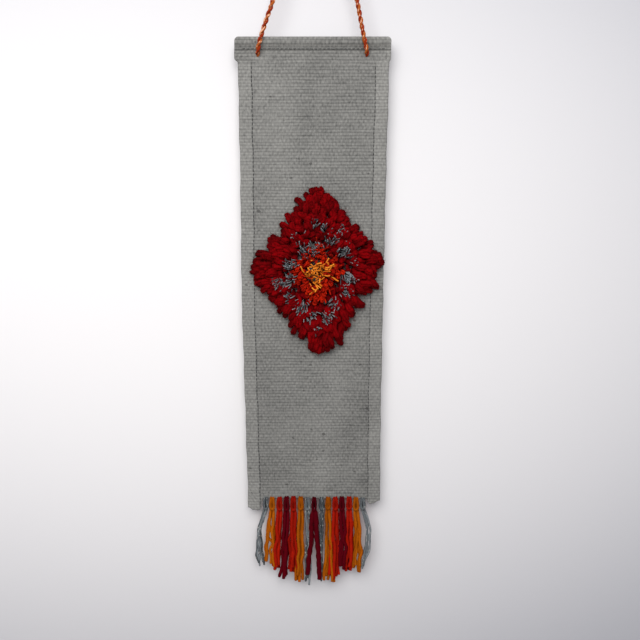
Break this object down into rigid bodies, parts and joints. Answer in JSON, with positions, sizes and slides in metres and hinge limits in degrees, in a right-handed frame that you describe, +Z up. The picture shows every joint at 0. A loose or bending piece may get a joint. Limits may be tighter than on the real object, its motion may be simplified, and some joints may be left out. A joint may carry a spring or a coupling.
{
  "type": "woven wall hanging",
  "caption": "Narrow hand-woven wool banner with a knotted pile diamond and a tasselled edge, hung by a twisted cord over a wooden wall peg.",
  "frame": {"origin": "middle of the wall peg's flat back face, on the wall", "axes": "+Z up, +Y into the wall, the decorated front faces -Y, +X to the viewer's right"},
  "size_m": [0.1534, 0.033, 0.7517],
  "materials": {
    "peg_wood": "oiled, turned",
    "dowel_wood": "plain sanded",
    "cloth_grey": "hand-woven weft-faced wool",
    "cord_rust": "two-ply twisted yarn, mottled rust, gold and brown",
    "thread_grey": "sewing thread",
    "yarn_red": "soft brushed pile yarn",
    "yarn_grey": "thin tweedy yarn",
    "yarn_orange": "plied wool",
    "yarn_gold": "thin crinkled yarn",
    "yarn_burgundy": "thick soft yarn",
    "yarn_mustard": "plied wool"
  },
  "bodies": {
    "wall_fixing": {"wall_peg": "peg_wood"},
    "hanger": {"hanging_cord": "cord_rust"},
    "banner": {"cord_knot_left": "cord_rust", "cord_knot_right": "cord_rust", "rod_pocket": "cloth_grey", "cloth_panel": "cloth_grey", "pocket_stitching": "thread_grey", "left_hem_stitching": "thread_grey", "right_hem_stitching": "thread_grey", "pile_red_outer_01": "yarn_red", "pile_red_outer_02": "yarn_red", "pile_red_outer_03": "yarn_red", "pile_red_outer_04": "yarn_red", "pile_red_outer_05": "yarn_red", "pile_red_outer_06": "yarn_red", "pile_red_outer_07": "yarn_red", "pile_red_outer_08": "yarn_red", "pile_red_outer_09": "yarn_red", "pile_red_outer_10": "yarn_red", "pile_red_outer_11": "yarn_red", "pile_red_outer_12": "yarn_red", "pile_red_inner_01": "yarn_red", "pile_red_inner_02": "yarn_red", "pile_red_inner_03": "yarn_red", "pile_red_inner_04": "yarn_red", "pile_red_inner_05": "yarn_red", "pile_red_inner_06": "yarn_red", "pile_red_inner_07": "yarn_red", "pile_red_inner_08": "yarn_red", "pile_grey_01": "yarn_grey", "pile_grey_02": "yarn_grey", "pile_grey_03": "yarn_grey", "pile_grey_04": "yarn_grey", "pile_grey_05": "yarn_grey", "pile_grey_06": "yarn_grey", "pile_grey_07": "yarn_grey", "pile_grey_08": "yarn_grey", "pile_orange_01": "yarn_orange", "pile_orange_02": "yarn_orange", "pile_orange_03": "yarn_orange", "pile_orange_04": "yarn_orange", "pile_gold_centre": "yarn_gold"},
    "dowel": {"top_dowel": "dowel_wood"},
    "tassel_01": {"tassel_01": "yarn_grey"},
    "tassel_02": {"tassel_02": "yarn_mustard"},
    "tassel_03": {"tassel_03": "yarn_orange"},
    "tassel_04": {"tassel_04": "yarn_burgundy"},
    "tassel_05": {"tassel_05": "yarn_orange"},
    "tassel_06": {"tassel_06": "yarn_mustard"},
    "tassel_07": {"tassel_07": "yarn_grey"},
    "tassel_08": {"tassel_08": "yarn_burgundy"},
    "tassel_09": {"tassel_09": "yarn_grey"},
    "tassel_10": {"tassel_10": "yarn_mustard"},
    "tassel_11": {"tassel_11": "yarn_orange"},
    "tassel_12": {"tassel_12": "yarn_burgundy"},
    "tassel_13": {"tassel_13": "yarn_orange"},
    "tassel_14": {"tassel_14": "yarn_mustard"},
    "tassel_15": {"tassel_15": "yarn_grey"}
  },
  "joints": [
    {"name": "hanger_sway", "type": "hinge", "parent": "wall_fixing", "child": "hanger", "pos_m": [0, -0.018, 0], "axis": [0, 1, 0], "range_deg": [-15, 15]},
    {"name": "banner_lift", "type": "hinge", "parent": "hanger", "child": "banner", "pos_m": [0, -0.012, -0.172], "axis": [-1, 0, 0], "range_deg": [0, 24]},
    {"name": "dowel_slide", "type": "slide", "parent": "banner", "child": "dowel", "axis": [1, 0, 0], "range_m": [-0.012, 0.012]},
    {"name": "tassel_01_swing", "type": "hinge", "parent": "banner", "child": "tassel_01", "pos_m": [-0.0547, -0.01295, -0.6377], "axis": [-1, 0, 0], "range_deg": [-6, 60]},
    {"name": "tassel_02_swing", "type": "hinge", "parent": "banner", "child": "tassel_02", "pos_m": [-0.0471, -0.01295, -0.6377], "axis": [-1, 0, 0], "range_deg": [-6, 60]},
    {"name": "tassel_03_swing", "type": "hinge", "parent": "banner", "child": "tassel_03", "pos_m": [-0.0395, -0.01295, -0.6377], "axis": [-1, 0, 0], "range_deg": [-6, 60]},
    {"name": "tassel_04_swing", "type": "hinge", "parent": "banner", "child": "tassel_04", "pos_m": [-0.0319, -0.01295, -0.6377], "axis": [-1, 0, 0], "range_deg": [-6, 60]},
    {"name": "tassel_05_swing", "type": "hinge", "parent": "banner", "child": "tassel_05", "pos_m": [-0.0243, -0.01295, -0.6377], "axis": [-1, 0, 0], "range_deg": [-6, 60]},
    {"name": "tassel_06_swing", "type": "hinge", "parent": "banner", "child": "tassel_06", "pos_m": [-0.0167, -0.01295, -0.6377], "axis": [-1, 0, 0], "range_deg": [-6, 60]},
    {"name": "tassel_07_swing", "type": "hinge", "parent": "banner", "child": "tassel_07", "pos_m": [-0.0091, -0.01295, -0.6377], "axis": [-1, 0, 0], "range_deg": [-6, 60]},
    {"name": "tassel_08_swing", "type": "hinge", "parent": "banner", "child": "tassel_08", "pos_m": [-0.0015, -0.01295, -0.6377], "axis": [-1, 0, 0], "range_deg": [-6, 60]},
    {"name": "tassel_09_swing", "type": "hinge", "parent": "banner", "child": "tassel_09", "pos_m": [0.0061, -0.01295, -0.6377], "axis": [-1, 0, 0], "range_deg": [-6, 60]},
    {"name": "tassel_10_swing", "type": "hinge", "parent": "banner", "child": "tassel_10", "pos_m": [0.0137, -0.01295, -0.6377], "axis": [-1, 0, 0], "range_deg": [-6, 60]},
    {"name": "tassel_11_swing", "type": "hinge", "parent": "banner", "child": "tassel_11", "pos_m": [0.0213, -0.01295, -0.6377], "axis": [-1, 0, 0], "range_deg": [-6, 60]},
    {"name": "tassel_12_swing", "type": "hinge", "parent": "banner", "child": "tassel_12", "pos_m": [0.0289, -0.01295, -0.6377], "axis": [-1, 0, 0], "range_deg": [-6, 60]},
    {"name": "tassel_13_swing", "type": "hinge", "parent": "banner", "child": "tassel_13", "pos_m": [0.0365, -0.01295, -0.6377], "axis": [-1, 0, 0], "range_deg": [-6, 60]},
    {"name": "tassel_14_swing", "type": "hinge", "parent": "banner", "child": "tassel_14", "pos_m": [0.0441, -0.01295, -0.6377], "axis": [-1, 0, 0], "range_deg": [-6, 60]},
    {"name": "tassel_15_swing", "type": "hinge", "parent": "banner", "child": "tassel_15", "pos_m": [0.0517, -0.01295, -0.6377], "axis": [-1, 0, 0], "range_deg": [-6, 60]}
  ]
}
